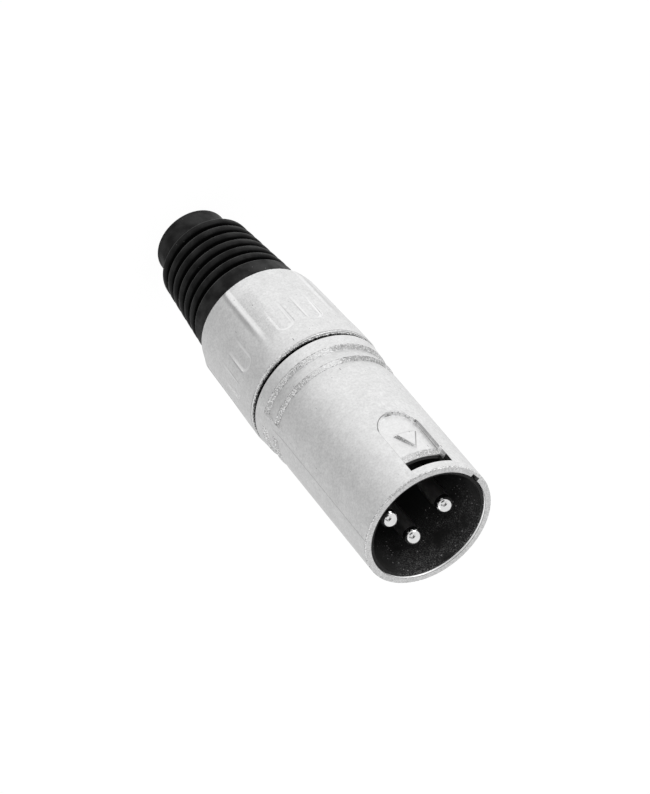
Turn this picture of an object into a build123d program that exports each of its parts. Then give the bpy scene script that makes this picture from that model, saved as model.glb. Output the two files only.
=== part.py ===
from build123d import *
import os
from math import cos, radians, sin, sqrt, tan

# Lengths along the axis, in millimetres, from the boot's flat end up to the rim
tail_length = 4.55
rib_count = 6
rib_pitch = 2.03
collar_length = 3.75
bushing_length = 16.8
seam_gap = 0.7
shell_length = 30.1

# Shell, the die-cast front housing
shell_radius = 9.5
shell_wall = 0.9
rim_rounding = 0.18
flange_rise = 0.38
flange_rounding = 0.12
step_tops = (2.0, 4.7, 7.0)
step_run = 0.55
step_floor_drop = 0.26
step_rounding = 0.12
parting_land_width = 2.0
key_angle = 226.0
key_width = 1.5
key_depth = 0.46

# Latch window, with the ramped recess behind it, its depths as shares of the wall
latch_half_angle = 18.9
window_setback = 1.48
window_length = 2.42
recess_length = 11.34
recess_share_rear = 0.5
recess_share_front = 0.667
recess_bevel_length = 1.1
recess_bevel_drop = 0.12
arrow_width = 3.7
arrow_length = 3.5
arrow_setback = 5.2
arrow_rise = 0.4
arrow_draft = 30.0

# Contact insert, a cup whose sleeve lines the shell
insert_clearance = 0.05
sleeve_wall = 0.45
sleeve_setback = 0.3
seat_thickness = 4.0
block_length = 7.0
floor_rounding = 0.4
key_clearance = 0.06
key_setback = 1.2

# Contacts, their radii given by how far each part stands out from the pin
pin_radius = 1.2
pin_inset = 3.05
pin_angles = (0.0, 180.0, 90.0)
pin_setback = 2.1
pin_free_length = 13.9
pin_clearance = 0.02
pin_stem_rise = 0.3
pin_collar_rise = 0.5
pin_collar_length = 1.2
pin_collar_depth = 1.5
cup_rise = 0.25
cup_wall = 0.4

# Ground lug, a hairpin strip beside the contacts
lug_thickness = 0.4
lug_width = 2.6
lug_span = 1.6
lug_bend_cover = 1.0
bend_flat = 0.01
lug_leg_setback = 0.6
lug_hole_radius = 0.6
lug_gap = 0.1
lug_slot_clearance = 0.1

# Bushing, the screwed rear sleeve with a five-sided grip
bushing_rise = 0.12
bushing_wall = 1.1
bushing_rounding = 0.25
thread_depth = 0.55
grip_sides = 5
grip_phase = 61.9
grip_flat = 0.26
grip_share = 0.81
ridge_rise = 0.12
ridge_half_angle = 1.8
grip_drop = 0.45
shoulder_length = 2.3
shoulder_drop = 0.55
shoulder_spans = 4
flute_width = 2.35
flute_offset_angle = 13.3
flute_floor_drop = 0.42
flute_setback = 3.6
lip_length = 1.2
chamber_length = 1.5
seat_land = 0.4
seat_length = 2.2
seat_slope = 0.5
seat_overhang = 0.8

# Spigot, the shell's threaded rear end
spigot_wall = 0.95
spigot_end_gap = 0.7
spigot_rounding = 0.25

# Chuck, the split clamp round the cable
chuck_clearance = 0.1
chuck_wall = 1.1
jaw_slot_width = 1.2
jaw_slot_count = 2
jaw_end_gap = 0.1
jaw_bore_clearance = 0.15
tooth_count = 4
tooth_end = 0.6
tooth_depth = 0.35
chuck_window_width = 7.0

# Room behind the insert, shared out from the chuck's rear end to the insert's block
jaw_share = 0.394
funnel_share = 0.534
window_start_share = 0.59
window_end_share = 0.927
cup_start_share = 0.635
cup_mouth_share = 0.86
cup_bottom_share = 0.916
lug_tail_share = 0.719

# Boot, the rubber sleeve that guards the cable
tail_step = 1.51
tail_wall = 2.05
boot_drop = 1.14
groove_share = 0.4335
groove_depth = 1.0
rib_rear_rounding = 0.22
rib_front_rounding = 0.42
groove_rounding = 0.3
tail_rounding = 0.12
collar_drop = 0.8
neck_depth = 0.45
boot_clearance = 0.1
flange_catch = 0.65
throat_wall = 1.55
throat_depth = 2.0

# Small roundings on inner edges
fine_rounding = 0.1
soft_rounding = 0.2
broad_rounding = 0.3

# Heights of the main joints between pieces
z_ribs = tail_length
z_collar = z_ribs + rib_count * rib_pitch
z_bushing = z_collar + collar_length
z_bushing_front = z_bushing + bushing_length
z_shell = z_bushing_front + seam_gap
z_rim = z_shell + shell_length

# Heights inside the shell
z_tip = z_rim - pin_setback
z_floor = z_tip - pin_free_length
z_seat = z_floor - seat_thickness
z_block = z_seat - block_length
z_window_front = z_rim - window_setback
z_window_rear = z_window_front - window_length
z_recess = z_window_front - recess_length

# Heights inside the bushing
z_chamber = z_bushing + lip_length
z_partition = z_chamber + chamber_length
z_cone = z_partition + seat_land
z_cone_front = z_cone + seat_length
z_spigot = z_cone_front + spigot_end_gap
z_jaws = z_partition + jaw_end_gap
room = z_block - z_jaws
z_cup = z_jaws + cup_start_share * room

# Radii, worked outwards from the shell and then inwards again
bore_radius = shell_radius - shell_wall
flange_radius = shell_radius + flange_rise
recess_radius = shell_radius - recess_share_front * shell_wall
bushing_radius = flange_radius + bushing_rise
thread_radius = bushing_radius - bushing_wall
spigot_radius = thread_radius - thread_depth
spigot_bore_radius = spigot_radius - spigot_wall
block_radius = spigot_bore_radius - chuck_clearance
pin_circle_radius = block_radius - pin_inset
sleeve_radius = bore_radius - insert_clearance
cup_wall_radius = sleeve_radius - sleeve_wall
grip_radius = bushing_radius - grip_drop
collar_radius = grip_radius - shoulder_drop - collar_drop
neck_radius = collar_radius - neck_depth
lip_radius = neck_radius + boot_clearance
boot_flange_radius = neck_radius + flange_catch
chamber_radius = boot_flange_radius + boot_clearance
cone_radius = spigot_bore_radius - seat_overhang
tail_radius = collar_radius - boot_drop - tail_step
cable_radius = tail_radius - tail_wall
throat_radius = neck_radius - throat_wall
stem_radius = pin_radius + pin_stem_rise
pin_collar_radius = pin_radius + pin_collar_rise
cup_radius = pin_radius + cup_rise
cup_bore_radius = cup_radius - cup_wall
jaw_bore_radius = cable_radius + jaw_bore_clearance

# The turn that brings the middle of a grip side to its phase angle
grip_step = 360 / grip_sides
grip_turn = grip_phase - grip_step / 2

# How far a cutting tool overshoots, and a length that clears the whole part
margin = 1.0
clear = 3 * bushing_radius


def turned(*corners):
    """A solid of revolution about +Z, where each corner is (radius, height, rounding)."""
    points = [(radius, height) for radius, height, rounding in corners]
    roundings = [rounding for radius, height, rounding in corners]
    outline = FilletPolyline(*points, radius=roundings, close=True)
    return revolve(Plane.XZ * make_face(outline), Axis.Z)


def around(angle, solid):
    """The solid turned about +Z by an angle in degrees."""
    return Rot(0, 0, angle) * solid


def block(x_range, y_range, z_range):
    """A box given by its limits along each axis."""
    limits = (x_range, y_range, z_range)
    sizes = [high - low for low, high in limits]
    middle = [(low + high) / 2 for low, high in limits]
    return Pos(*middle) * Box(*sizes)


def envelope_radius(height):
    """The shell's outer radius on its tapered rear stretch."""
    along = min(max(height - z_shell, 0), step_tops[-1])
    return flange_radius - flange_rise * along / step_tops[-1]


def shell_blank():
    """The turned form: rim, bore, seat for the insert, flange and spigot."""
    return turned(
        (spigot_bore_radius, z_spigot, 0),
        (spigot_radius, z_spigot, spigot_rounding),
        (spigot_radius, z_shell, fine_rounding),
        (flange_radius, z_shell, flange_rounding),
        (shell_radius, z_shell + step_tops[-1], 0),
        (shell_radius, z_rim, rim_rounding),
        (bore_radius, z_rim, rim_rounding / 2),
        (bore_radius, z_seat, 0),
        (spigot_bore_radius, z_seat, 0),
    )


def step_ring(top, next_top):
    """The ring cut away between one grip step and the next, deepest just past the step."""
    outside = bushing_radius + margin
    return turned(
        (outside, z_shell + top, 0),
        (envelope_radius(z_shell + top), z_shell + top, 0),
        (shell_radius - step_floor_drop, z_shell + top + step_run, step_rounding),
        (envelope_radius(z_shell + next_top), z_shell + next_top, 0),
        (outside, z_shell + next_top, 0),
    )


def grip_steps():
    """Both step rings, interrupted at the plain lands along the mould's parting line."""
    half = parting_land_width / 2
    lands = block((-clear, clear), (-half, half), (0, z_rim))
    rings = [step_ring(top, following) for top, following in zip(step_tops, step_tops[1:])]
    return [ring - lands for ring in rings]


def latch_wedge(low, high):
    """A wedge on the latch side whose walls point at the axis, with its rear end arched."""
    outside = shell_radius + margin
    spread = tan(radians(latch_half_angle))
    half_width = outside * spread
    arch_height = z_recess + shell_radius * spread
    face_plane = Plane(origin=(0, -outside, 0), x_dir=(0, 0, 1), z_dir=(0, 1, 0))
    run = high + clear - arch_height
    straight = Pos(arch_height + run / 2, 0) * Rectangle(run, 2 * half_width)
    outline = straight + Pos(arch_height, 0) * Circle(half_width)
    wedge = extrude(face_plane * outline, outside / 2, taper=latch_half_angle)
    return wedge & block((-clear, clear), (-clear, clear), (low, high))


def recess_floor():
    """The metal left under the recess: a gentle ramp, then a bevel down to the window."""
    z_bevel = z_window_rear - recess_bevel_length
    rear_radius = shell_radius - recess_share_rear * shell_wall
    return turned(
        (0, z_recess - margin, 0),
        (rear_radius, z_recess - margin, 0),
        (rear_radius, z_recess, 0),
        (recess_radius, z_bevel, 0),
        (recess_radius - recess_bevel_drop, z_window_rear, 0),
        (0, z_window_rear, 0),
    )


def latch_opening():
    """Everything cut away on the latch side: the through window and the recess behind it."""
    return latch_wedge(0, z_window_front) - recess_floor()


def insertion_arrow():
    """The raised triangle in the recess, with sloping sides, which points at the rim."""
    z_apex = z_rim - arrow_setback
    z_base = z_apex - arrow_length
    half = arrow_width / 2
    foot = (bore_radius + recess_radius) / 2
    outline = Polyline((z_base, -half), (z_base, half), (z_apex, 0), close=True)
    face_plane = Plane(origin=(0, -foot, 0), x_dir=(0, 0, 1), z_dir=(0, -1, 0))
    return extrude(face_plane * make_face(outline), recess_radius + arrow_rise - foot, taper=arrow_draft)


def keyway(width, depth, low, high):
    """The straight key on the insert, or the groove for it in the shell's bore."""
    inner = sleeve_radius - sleeve_wall / 2
    bar = block((inner, bore_radius + depth), (-width / 2, width / 2), (low, high))
    return around(key_angle, bar)


def shell():
    """The die-cast housing."""
    body = shell_blank() - grip_steps()
    body = body - latch_opening()
    body = body + insertion_arrow()
    return body - keyway(key_width, key_depth, z_seat, z_rim + margin)


def insert_blank():
    """The cup: a thin sleeve, a thick floor seated on the shell, and the block behind it."""
    return turned(
        (0, z_block, 0),
        (block_radius, z_block, broad_rounding),
        (block_radius, z_seat, 0),
        (sleeve_radius, z_seat, 0),
        (sleeve_radius, z_rim - sleeve_setback, fine_rounding),
        (cup_wall_radius, z_rim - sleeve_setback, fine_rounding),
        (cup_wall_radius, z_floor, floor_rounding),
        (0, z_floor, 0),
    )


def insert():
    """The black plastic insert, bored for its contacts and slotted for the ground lug."""
    body = insert_blank()
    key_fit = key_width - 2 * key_clearance
    body = body + keyway(key_fit, key_depth - key_clearance, z_seat, z_rim - key_setback)
    body = body - latch_wedge(z_window_rear, z_window_front)
    for angle in pin_angles:
        body = body - around(angle, contact_form(pin_clearance))
    return body - lug_slot()


def contact_form(growth):
    """A solid contact on the +X side of the pin circle, grown all round to cut its seat."""
    z_collar_top = z_floor - pin_collar_depth
    z_collar_bottom = z_collar_top - pin_collar_length
    z_shaft_top = z_tip - pin_radius
    shaft = turned(
        (0, z_cup, 0),
        (cup_radius + growth, z_cup, fine_rounding),
        (cup_radius + growth, z_block, 0),
        (stem_radius + growth, z_block, 0),
        (stem_radius + growth, z_collar_bottom - growth, 0),
        (pin_collar_radius + growth, z_collar_bottom - growth, 0),
        (pin_collar_radius + growth, z_collar_top + growth, 0),
        (stem_radius + growth, z_collar_top + growth, 0),
        (stem_radius + growth, z_floor, 0),
        (pin_radius + growth, z_floor, 0),
        (pin_radius + growth, z_shaft_top, 0),
        (0, z_shaft_top, 0),
    )
    tip = Pos(0, 0, z_shaft_top) * Sphere(pin_radius + growth)
    return Pos(pin_circle_radius, 0, 0) * (shaft + tip)


def contact():
    """One contact, with its solder cup bored and cut open on the outward side."""
    z_mouth = z_jaws + cup_mouth_share * room
    z_bottom = z_jaws + cup_bottom_share * room
    bore = upright(cup_bore_radius, z_cup - margin, z_bottom)
    mouth = block((0, 2 * cup_radius), (-cup_radius, cup_radius), (z_cup - margin, z_mouth))
    return contact_form(0) - Pos(pin_circle_radius, 0, 0) * (bore + mouth)


def upright(radius, low, high):
    """An upright cylinder on the axis, given by its two heights."""
    return Pos(0, 0, (low + high) / 2) * Cylinder(radius, high - low)


def lug_levels():
    """Where the lug stands: its outer leg's middle, inner leg's middle and bend height."""
    reach = sqrt((spigot_bore_radius - lug_gap) ** 2 - (lug_width / 2) ** 2)
    outer = reach - lug_thickness / 2
    return outer, outer - lug_span, z_seat - lug_bend_cover


def ground_lug():
    """The hairpin strip: a solder tail, a bend, and a leg that presses on the shell's bore."""
    outer, inner, top = lug_levels()
    z_tail = z_jaws + lug_tail_share * room
    spine = FilletPolyline(
        (-inner, z_tail),
        (-inner, top),
        (-outer, top),
        (-outer, z_block + lug_leg_setback),
        radius=lug_span / 2 - bend_flat,
    )
    strip = extrude(Plane.YZ * trace(spine, lug_thickness), lug_width / 2, both=True)
    hole_height = z_tail + 2 * lug_hole_radius
    hole = Pos(0, -inner, hole_height) * Rot(90, 0, 0) * Cylinder(lug_hole_radius, margin)
    return strip - hole


def lug_slot():
    """The notch in the insert's block that the ground lug drops into."""
    outer, inner, top = lug_levels()
    half = lug_width / 2 + lug_slot_clearance
    floor = inner - lug_thickness / 2 - lug_slot_clearance
    ceiling = top + lug_thickness / 2 + lug_slot_clearance
    return block((-half, half), (-clear, -floor), (z_block - margin, ceiling))


def jaw_radius(height):
    """The chuck's outer radius where its jaws follow the bushing's cone."""
    return cone_radius + seat_slope * (height - z_cone) - chuck_clearance


def chuck_blank():
    """The turned form of the chuck: a wiring chamber, a funnel and the clamping jaws."""
    z_front = z_block - insert_clearance
    z_full = z_cone + (block_radius - cone_radius + chuck_clearance) / seat_slope
    chamber = block_radius - chuck_wall
    return turned(
        (jaw_bore_radius, z_jaws, fine_rounding),
        (jaw_radius(z_cone), z_jaws, soft_rounding),
        (jaw_radius(z_cone), z_cone, 0),
        (block_radius, z_full, 0),
        (block_radius, z_front, soft_rounding),
        (chamber, z_front, 0),
        (chamber, z_jaws + funnel_share * room, 0),
        (jaw_bore_radius, z_jaws + jaw_share * room, 0),
    )


def chuck():
    """The split clamp, with crossed slots, inner teeth and two windows for wiring."""
    body = chuck_blank()
    jaw_length = jaw_share * room
    half = jaw_slot_width / 2
    slot_step = 180 / jaw_slot_count
    for index in range(jaw_slot_count):
        slot = block((-clear, clear), (-half, half), (z_jaws - margin, z_jaws + jaw_length))
        body = body - around((index + 0.5) * slot_step, slot)
    tooth_length = (jaw_length - tooth_end) / (2 * tooth_count)
    for index in range(tooth_count):
        z_groove = z_jaws + (2 * index + 1) * tooth_length
        body = body - upright(jaw_bore_radius + tooth_depth, z_groove, z_groove + tooth_length)
    half = chuck_window_width / 2
    window = (z_jaws + window_start_share * room, z_jaws + window_end_share * room)
    return body - block((-clear, clear), (-half, half), window)


def grip_envelope(height):
    """The bushing's corner radius: a straight taper that rolls in over the rear shoulder."""
    along = (height - z_bushing) / bushing_length
    taper = grip_radius + (bushing_radius - grip_radius) * along
    short = max(0, 1 - (height - z_bushing) / shoulder_length)
    return taper - shoulder_drop * short ** 2


def grip_share_at(height):
    """How far the flats and ridges stand out: quickly over the shoulder, then fading to the front."""
    ahead = height - z_bushing
    fade_in = 1 - max(0, 1 - ahead / shoulder_length) ** 2
    fade_out = 1 - ahead / (grip_share * bushing_length)
    return fade_in * fade_out


def polar_arc(*points):
    """An arc through three points, each given by its radius and its angle in degrees."""
    places = [(radius * cos(radians(angle)), radius * sin(radians(angle))) for radius, angle in points]
    return ThreePointArc(*places).edge()


def grip_section(height):
    """Five shallow arcs, with a narrow raised ridge where two of them would meet."""
    crest = grip_envelope(height)
    share = grip_share_at(height)
    foot = crest - ridge_rise * share
    middle = foot - grip_flat * share
    arcs = []
    for index in range(grip_sides):
        corner = index * grip_step
        rear, front = corner - ridge_half_angle, corner + ridge_half_angle
        far = corner + grip_step - ridge_half_angle
        arcs.append(polar_arc((foot, rear), (crest, corner), (foot, front)))
        arcs.append(polar_arc((foot, front), (middle, corner + grip_step / 2), (foot, far)))
    return Pos(0, 0, height) * make_face(Wire(arcs))


def grip_form():
    """The five-sided rear of the bushing, which fades into a round collar in front."""
    z_shoulder = z_bushing + shoulder_length
    z_round = z_bushing + grip_share * bushing_length
    spacing = shoulder_length / shoulder_spans
    shoulder = loft([grip_section(z_bushing + spacing * index) for index in range(shoulder_spans + 1)])
    taper = loft([grip_section(z_shoulder), grip_section(z_round)], ruled=True)
    front = turned(
        (0, z_round, 0),
        (grip_envelope(z_round), z_round, 0),
        (bushing_radius, z_bushing_front, bushing_rounding),
        (0, z_bushing_front, 0),
    )
    return shoulder + taper + front


def flute():
    """The tool for one flute: a round-ended slot that runs out into the taper behind."""
    floor = bushing_radius - flute_floor_drop
    z_end = z_bushing_front - flute_setback
    face_plane = Plane(origin=(floor, 0, 0), x_dir=(0, 0, 1), z_dir=(1, 0, 0))
    centre = z_end - flute_width / 2
    run = centre - z_bushing
    straight = Pos(centre - run / 2, 0) * Rectangle(run, flute_width)
    outline = straight + Pos(centre, 0) * Circle(flute_width / 2)
    return extrude(face_plane * outline, clear)


def bushing_bore():
    """The tool for the inside: lip, boot chamber, clamping cone and threaded bore."""
    return turned(
        (0, z_bushing - margin, 0),
        (lip_radius, z_bushing - margin, 0),
        (lip_radius, z_chamber, 0),
        (chamber_radius, z_chamber, 0),
        (chamber_radius, z_partition, 0),
        (cone_radius, z_partition, 0),
        (cone_radius, z_cone, 0),
        (cone_radius + seat_slope * seat_length, z_cone_front, 0),
        (thread_radius, z_cone_front, 0),
        (thread_radius, z_bushing_front + margin, 0),
        (0, z_bushing_front + margin, 0),
    )


def bushing():
    """The metal sleeve that screws onto the spigot and closes the chuck."""
    body = grip_form() - bushing_bore()
    for index in range(grip_sides):
        middle = (index + 0.5) * grip_step
        for side in (-flute_offset_angle, flute_offset_angle):
            body = body - around(middle + side, flute())
    return around(grip_turn, body)


def boot_radius(height):
    """The boot's outer radius over its ribs."""
    return collar_radius - boot_drop * max(0, z_collar - height) / (z_collar - z_ribs)


def rib_corners(index):
    """The outline of one rib and of the groove in front of it."""
    z_start = z_ribs + index * rib_pitch
    z_next = z_start + rib_pitch
    z_edge = z_next - groove_share * rib_pitch
    return [
        (boot_radius(z_start), z_start, rib_rear_rounding),
        (boot_radius(z_edge), z_edge, rib_front_rounding),
        (boot_radius(z_edge) - groove_depth, z_edge, groove_rounding),
        (boot_radius(z_edge) - groove_depth, z_next, groove_rounding),
    ]


def boot():
    """The ribbed rubber sleeve, its neck snapped into the bushing's lip."""
    z_lip = z_bushing - boot_clearance
    z_flange = z_chamber + boot_clearance
    z_top = z_partition - boot_clearance
    corners = [
        (cable_radius, 0, broad_rounding),
        (tail_radius, 0, tail_rounding),
        (tail_radius, z_ribs, soft_rounding),
    ]
    for index in range(rib_count):
        corners += rib_corners(index)
    corners += [
        (collar_radius, z_collar, rib_rear_rounding),
        (collar_radius, z_lip, fine_rounding),
        (neck_radius, z_lip, 0),
        (neck_radius, z_flange, 0),
        (boot_flange_radius, z_flange, 0),
        (boot_flange_radius, z_top, fine_rounding),
        (throat_radius, z_top, soft_rounding),
        (throat_radius, z_bushing - throat_depth, 0),
        (cable_radius, z_ribs, 0),
    ]
    return turned(*corners)


def pieces():
    """Every piece by its node name."""
    nodes = {"shell": shell(), "insert": insert()}
    for number, angle in enumerate(pin_angles, start=1):
        nodes[f"pin_{number}"] = around(angle, contact())
    nodes["ground_lug"] = ground_lug()
    nodes["chuck"] = chuck()
    nodes["bushing"] = bushing()
    nodes["boot"] = boot()
    return nodes


os.makedirs("parts", exist_ok=True)
for name, solid in pieces().items():
    export_step(solid, f"parts/{name}.step")
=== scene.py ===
import math

import bpy
import numpy as np
from bpy.props import FloatProperty, FloatVectorProperty, IntProperty, PointerProperty
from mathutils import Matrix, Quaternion, Vector


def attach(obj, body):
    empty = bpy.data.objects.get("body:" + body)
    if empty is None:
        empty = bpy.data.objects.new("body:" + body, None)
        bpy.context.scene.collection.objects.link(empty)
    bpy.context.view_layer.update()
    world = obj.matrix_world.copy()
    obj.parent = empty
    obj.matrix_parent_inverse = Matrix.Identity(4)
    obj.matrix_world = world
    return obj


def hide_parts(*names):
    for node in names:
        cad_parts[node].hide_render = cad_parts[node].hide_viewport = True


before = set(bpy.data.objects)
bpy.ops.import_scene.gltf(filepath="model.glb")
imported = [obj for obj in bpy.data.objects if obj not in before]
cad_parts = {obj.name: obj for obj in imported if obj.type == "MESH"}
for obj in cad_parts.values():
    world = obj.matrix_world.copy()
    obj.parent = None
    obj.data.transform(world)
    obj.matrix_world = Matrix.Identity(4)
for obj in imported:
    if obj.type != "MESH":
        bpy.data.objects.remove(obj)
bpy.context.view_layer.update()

bl_info = {
    "name": "Screw-together plug",
    "version": (1, 0, 0),
    "blender": (4, 5, 0),
    "location": "View3D > Sidebar > Plug",
    "description": "Finishes and fine forms of a three-contact plug, over its packed solids",
    "category": "Object",
}

MM = 0.001

# Sizes of the solids, in mm

SHELL_RADIUS = 9.5
SHELL_REAR = 37.98
RECESS_HALF_WIDTH = 3.2525
ARCH_CENTRE = 58.51
ARROW_TIP = 62.88
ARROW_FLANK = (0.884, 0.467)
FLUTE_END = 32.505
BUSHING_FACE = 37.25
CABLE_RADIUS = 3.5
TAIL_RADIUS = 5.55
TAIL_LENGTH = 4.55
RIB_COUNT = 6
RIB_PITCH = 2.03
RIB_LENGTH = 1.15
GROOVE_DEPTH = 1.0
RIBBED_LENGTH = 12.18
BOOT_DROP = 1.14
COLLAR_RADIUS = 8.2
COLLAR_START = 16.73

# Part angles of the grip, in degrees, and the length of its arc in mm a degree

GRIP_SIDE = 72.0
SIDE_MIDDLE = 61.9
RIDGE = 24.4
FLUTE_OFFSET = 13.3
GRIP_ARC = 0.169

# Part angles of the sides where the photograph shows the metal brighter or darker, in degrees.
# Most marks there imitate its light. They are fixed to the part and stay in any other light.

FAR_SIDE = 126.4
LATCH_SIDE = 250.0
GLINT_SIDE = 288.0
SCUFF_SIDE = 302.0
VIEWER_SIDE = 321.0

# Marks along the axis: from which height in mm to which, and how many mm each one fades over

BUSHING_REAR_EDGE = (20.5, 20.62, 0.06)
SCUFF = (24.0, 32.0, 2.0)
BUSHING_FRONT_EDGE = (36.95, 37.15, 0.05)
REAR_STEP = (40.1, 40.45, 0.1)
FRONT_STEP = (42.7, 43.18, 0.05)
STEP_BORDERS = [(low, low + 0.05, 0.04) for low in (39.98, 40.55, 42.62, 43.22)]
RECESS = (54.9, 64.14, 0.06)
ARROW_BASE = (59.05, 59.2, 0.06)
LIT_FLANK = (59.5, 62.2, 0.1)
DIM_FLANK = (59.5, 62.0, 0.2)
WALL_GLARE = (63.4, 63.9, 0.2)
TIP_EDGE = (64.3, 64.85, 0.1)
WINDOW_WALL = (65.0, 66.55, 0.05)
RIM_LIP = (67.76, 68.0, 0.05)
RIM_EDGE = (67.8, 68.02, 0.05)


# Shader maths

class Signal:
    """One output of a finish's nodes. Arithmetic on it adds Math nodes."""

    def __init__(self, finish, socket):
        self.finish = finish
        self.socket = socket

    def math(self, operation, *values):
        return self.finish.node("Math", {"operation": operation}, dict(enumerate(values)))

    def __add__(self, other):
        return self.math("ADD", self, other)

    __radd__ = __add__

    def __mul__(self, other):
        return self.math("MULTIPLY", self, other)

    __rmul__ = __mul__

    def __sub__(self, other):
        return self.math("SUBTRACT", self, other)

    def __rsub__(self, other):
        return self.math("SUBTRACT", other, self)

    def __truediv__(self, other):
        return self.math("DIVIDE", self, other)

    def __pow__(self, other):
        return self.math("POWER", self, other)

    def __mod__(self, other):
        return self.math("FLOORED_MODULO", self, other)

    def __abs__(self):
        return self.math("ABSOLUTE", self)

    def __gt__(self, other):
        return self.math("GREATER_THAN", self, other)

    def at_least(self, least):
        """This value, or the least one where it lies below that."""
        return self.math("MAXIMUM", self, least)


class Finish:
    """One material, built node by node."""

    def __init__(self, name):
        self.material = bpy.data.materials.new(name)
        self.material.use_nodes = True
        self.tree = self.material.node_tree
        self.tree.nodes.clear()

    def node(self, kind, settings, sockets, output=0):
        """Adds a node: its settings come first, then the values or links of its sockets."""
        made = self.tree.nodes.new("ShaderNode" + kind)
        for name, value in settings.items():
            setattr(made, name, value)
        for name, value in sockets.items():
            if isinstance(value, Signal):
                self.tree.links.new(value.socket, made.inputs[name])
            else:
                made.inputs[name].default_value = value
        return Signal(self, made.outputs[output])

    def place(self):
        """The point on the piece, in millimetres of the part's own frame."""
        point = self.node("TexCoord", {}, {}, "Object")
        return self.node("VectorMath", {"operation": "SCALE"}, {0: point, "Scale": 1 / MM})

    def axes(self, point):
        """The three coordinates of a point."""
        return [self.node("SeparateXYZ", {}, {0: point}, name) for name in "XYZ"]

    def radius(self, x, y):
        """How far a place lies from the axis."""
        return (x * x + y * y) ** 0.5

    def along(self, x, y, angle):
        """How far a place lies from the axis in the direction of a part angle."""
        turn = math.radians(angle)
        return x * math.cos(turn) + y * math.sin(turn)

    def toward(self, x, y, angle):
        """The cosine between a place's direction from the axis and a part angle."""
        return self.along(x, y, angle) / self.radius(x, y)

    def noise(self, point, size, detail=2.0, roughness=0.5):
        """Smooth noise from 0 to 1, whose largest lumps are about as wide as size."""
        sockets = {"Vector": point, "Scale": 1 / size, "Detail": detail, "Roughness": roughness}
        return self.node("TexNoise", {}, sockets)

    def ease(self, value, low, high):
        """0 below low and 1 above high, with a soft change between them."""
        sockets = {"Value": value, "From Min": low, "From Max": high}
        return self.node("MapRange", {"interpolation_type": "SMOOTHSTEP"}, sockets)

    def band(self, value, low, high, soft):
        """1 between low and high and 0 beyond, with a soft change outside each of them."""
        return self.ease(value, low - soft, low) * (1 - self.ease(value, high, high + soft))

    def stretched(self, point, angle, share):
        """The point in a turned frame that is shortened one way, so that dots become dashes."""
        sockets = {
            "Vector": point,
            "Rotation": (0.0, 0.5, math.radians(angle)),
            "Scale": (1.0, 1.0, share),
        }
        return self.node("Mapping", {}, sockets)

    def specks(self, point, spacing, width, share):
        """Round specks on a loose lattice: 1 inside a speck, and only a share of cells has one."""
        cell = {"Vector": point, "Scale": 1 / spacing}
        distance = self.node("TexVoronoi", {}, cell, "Distance")
        colour = self.node("TexVoronoi", {}, cell, "Color")
        chance = self.node("SeparateColor", {}, {0: colour}, 0)
        size = self.node("SeparateColor", {}, {0: colour}, 1)
        reach = (size * 0.7 + 0.3) * (0.5 * width / spacing)
        inside = 1 - self.ease(distance / reach, 0.6, 1.0)
        return inside * (chance > 1 - share)

    def blend(self, mask, first, second):
        """The first colour where the mask is 0, and the second where it is 1."""
        return self.node("Mix", {"data_type": "RGBA"}, {0: mask, 6: first, 7: second}, 2)

    def relief(self, height):
        """A bump from a height in millimetres."""
        return self.node("Bump", {}, {"Height": height, "Distance": MM, "Strength": 1.0})

    def close(self, **sockets):
        """Puts one plain surface shader on the material and returns the material."""
        names = {name.replace("_", " "): value for name, value in sockets.items()}
        self.join("ShaderNodeOutputMaterial", self.node("BsdfPrincipled", {}, names))
        return self.material

    def join(self, kind, shader):
        """Adds an output node of a kind and joins a shader to it."""
        target = self.tree.nodes.new(kind)
        self.tree.links.new(shader.socket, target.inputs["Surface"])


def grey(level):
    """A neutral colour of one level."""
    return (level, level, level, 1.0)


def rgba(colour, share=1.0):
    """A colour property with its alpha, darker or lighter by a share."""
    return (*(share * part for part in colour), 1.0)


# Finishes

# The bright mark colour paints wear and also painted highlights and reflections; the dark one
# paints grime and also painted shade
WORN_METAL_AND_HIGHLIGHT = grey(0.97)
GRIME_AND_SHADE = grey(0.035)
TIP_SHADOW = grey(0.05)
SHADE_BLACK = grey(0.002)
INSERT_DUST = grey(0.8)
# The rubber's light colour paints dust and a painted highlight along the ribs' rear edges
RUBBER_DUST_AND_HIGHLIGHT = grey(0.3)


def crumbs(finish, point, size, low, high):
    """Crumbs of rough casting, from 0 to 1."""
    return finish.ease(finish.noise(point, size, 2.0, 0.6), low, high)


def together(*marks):
    """Adds up how dark, how bright and how raised several marks make each place."""
    return [sum(parts[1:], parts[0]) for parts in zip(*marks)]


def cast_skin(finish, settings, point):
    """The plate's tone from 0 to 1, its pits and its relief in mm, from grain, clouds and nicks."""
    grain = finish.noise(point, settings.grain_width, 3.0, 0.7)
    cloud = finish.noise(point, 2.4, 3.0)
    pits = finish.specks(point, 0.8, 0.2, 0.35)
    nicks = finish.specks(finish.stretched(point, 35.0, 0.25), 0.9, 0.2, 0.16)
    lumps = finish.noise(point, 0.8, 2.0)
    tone = 0.5 + (grain - 0.5) * settings.contrast + (lumps - 0.5) * 0.8 + (cloud - 0.5) * 0.6
    dark = pits * 0.5 + nicks * 0.6
    height = grain * settings.grain_height - dark * 0.02
    return tone, dark, height


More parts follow.
